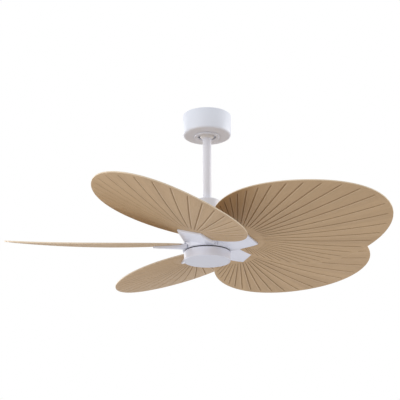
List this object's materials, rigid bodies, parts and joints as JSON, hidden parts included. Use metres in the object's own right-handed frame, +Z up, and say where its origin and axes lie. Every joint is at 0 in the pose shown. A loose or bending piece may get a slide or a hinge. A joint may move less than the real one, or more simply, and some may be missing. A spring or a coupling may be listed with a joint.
{
  "type": "ceiling fan",
  "caption": "Downrod ceiling fan with cupped, pleated palm-leaf blades on flat arms, a drum motor with a light, and a round canopy.",
  "frame": {"origin": "centre of the hanger bracket's upper face, where it meets the ceiling", "axes": "+Z up, along the downrod and the motor's axis; the picture looks along +Y from below; +X is to its right"},
  "size_m": [1.2257, 1.266, 0.5118],
  "materials": {
    "white_paint": "satin white powder coat",
    "palm_wood": "satin natural palm-leaf tan",
    "zinc_steel": "zinc plated",
    "bearing_steel": "ground",
    "laminations": "laminated electrical steel",
    "copper": "enamelled copper wire",
    "magnet": "sintered ferrite",
    "cast_aluminium": "as cast",
    "white_plastic": "moulded",
    "circuit_board": "solder mask",
    "led_board": "white solder mask",
    "opal_lens": "opal white, satin"
  },
  "bodies": {
    "ceiling_mount": {"hanger_bracket": "zinc_steel", "receiver_module": "white_plastic", "canopy": "white_paint", "canopy_trim_ring": "white_paint", "canopy_screw_1": "zinc_steel", "canopy_screw_2": "zinc_steel"},
    "swivel_pin": {"ball_cross_pin": "zinc_steel"},
    "hanging_motor": {"hanger_ball": "white_plastic", "downrod": "white_paint", "coupling_cover": "white_paint", "motor_yoke": "cast_aluminium", "clevis_pin": "zinc_steel", "hairpin_clip": "zinc_steel", "upper_housing": "white_paint", "motor_shaft": "zinc_steel", "motor_controller": "circuit_board", "stator_core": "laminations", "stator_winding": "copper", "light_drum": "white_paint", "shaft_nut": "zinc_steel", "led_tray": "cast_aluminium", "led_board": "led_board", "lens": "opal_lens"},
    "rotor": {"rotor_ring": "white_paint", "magnet_ring": "magnet", "rotor_upper_plate": "cast_aluminium", "rotor_lower_plate": "cast_aluminium", "upper_bearing": "bearing_steel", "lower_bearing": "bearing_steel", "blade_arm_1": "white_paint", "blade_arm_2": "white_paint", "blade_arm_3": "white_paint", "blade_arm_4": "white_paint", "blade_arm_5": "white_paint", "blade_1": "palm_wood", "blade_2": "palm_wood", "blade_3": "palm_wood", "blade_4": "palm_wood", "blade_5": "palm_wood"}
  },
  "joints": [
    {"name": "ball_tilt_sideways", "type": "hinge", "parent": "ceiling_mount", "child": "swivel_pin", "pos_m": [0, 0, -0.0545], "axis": [0, 1, 0], "range_deg": [-20, 20]},
    {"name": "ball_tilt_forward", "type": "hinge", "parent": "swivel_pin", "child": "hanging_motor", "pos_m": [0, 0, -0.0545], "axis": [1, 0, 0], "range_deg": [-20, 20]},
    {"name": "rotor_spin", "type": "hinge", "parent": "hanging_motor", "child": "rotor", "pos_m": [0, 0, -0.4515], "axis": [0, 0, 1], "continuous": true}
  ]
}
